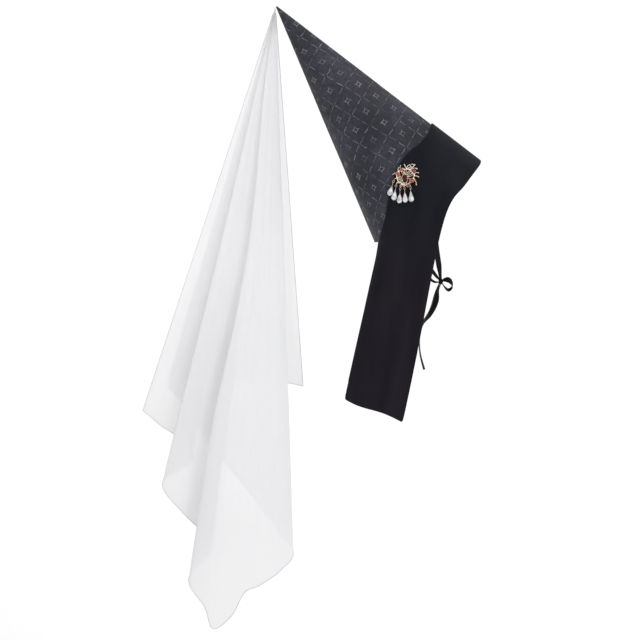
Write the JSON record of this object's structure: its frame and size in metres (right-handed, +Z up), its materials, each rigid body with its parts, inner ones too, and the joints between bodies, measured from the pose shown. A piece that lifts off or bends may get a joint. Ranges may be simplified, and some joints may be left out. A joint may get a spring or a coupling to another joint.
{
  "type": "hennin cone hat",
  "caption": "Tall pointed hat of dark brocade with a velvet band ending in hanging lappets, a sheer veil from its point, a jewelled gold brooch with pearl drops, and a chin ribbon.",
  "frame": {"origin": "centre of the rim circle, where the hat sits on a head", "axes": "+X the wearer's front, +Y the wearer's left, +Z up; the cone leans back 45 degrees towards -X and the veil hangs from its point"},
  "size_m": [0.4268, 0.196, 0.8741],
  "materials": {
    "brocade": "charcoal brocade with a faint woven lattice",
    "velvet": "black velvet, matt pile",
    "chiffon": "sheer white chiffon",
    "satin": "black satin ribbon",
    "gold": "polished pale gold",
    "pearl": "clear white pearl lustre",
    "garnet": "cut dark red stone",
    "coral_stone": "cut orange red stone",
    "amber_stone": "cut amber stone",
    "ruby": "cut ruby red stone",
    "rose_stone": "cut rose stone",
    "brown_stone": "cut brown stone"
  },
  "bodies": {
    "root": {"cone": "brocade", "lappet_band": "velvet", "veil": "chiffon", "chin_ribbon_near": "satin", "chin_ribbon_far": "satin", "bow_knot": "satin", "bow_loop_front": "satin", "bow_loop_back": "satin", "bow_tail_front": "satin", "bow_tail_back": "satin", "brooch_frame": "gold", "brooch_pin": "gold", "centre_stone": "garnet", "side_stone_left": "coral_stone", "side_stone_right": "amber_stone", "side_stone_top_right": "ruby", "side_stone_top_left": "rose_stone", "side_stone_low": "brown_stone", "drop_hanger_1": "gold", "drop_hanger_2": "gold", "drop_link_3_1": "gold", "drop_hanger_3": "gold", "drop_link_4_1": "gold", "drop_hanger_4": "gold", "drop_link_5_1": "gold", "drop_hanger_5": "gold", "pearl_drop_1": "pearl", "pearl_drop_2": "pearl", "pearl_drop_3": "pearl", "pearl_drop_4": "pearl", "pearl_drop_5": "pearl"}
  },
  "joints": []
}
